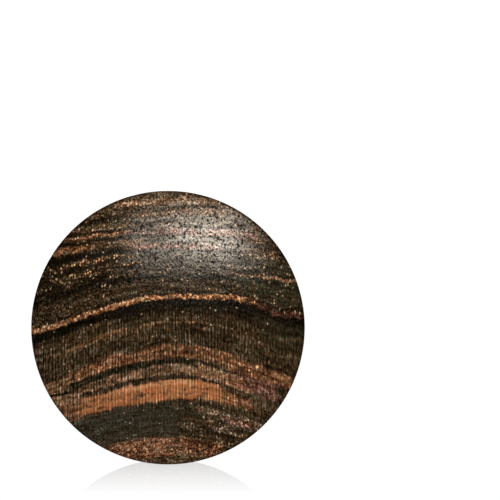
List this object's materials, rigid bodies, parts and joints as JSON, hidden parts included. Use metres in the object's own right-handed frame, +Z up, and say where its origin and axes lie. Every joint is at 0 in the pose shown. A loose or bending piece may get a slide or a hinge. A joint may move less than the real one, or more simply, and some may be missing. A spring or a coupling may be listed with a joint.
{
  "type": "wooden saddle ear plug",
  "caption": "Double-flared ear plug turned from banded dark wood, with a domed face, a saddle that the stretched lobe sits in, and a flat back.",
  "frame": {"origin": "centre of the box's underside, where the plug lies on its two rims", "axes": "+Y along the plug's axis from the domed face to the flat back, +Z up, +X to the right of someone who faces the dome"},
  "size_m": [0.0264, 0.0182, 0.0264],
  "materials": {
    "wood": "sanded and oiled, satin"
  },
  "bodies": {
    "root": {"saddle_plug": "wood"}
  },
  "joints": []
}
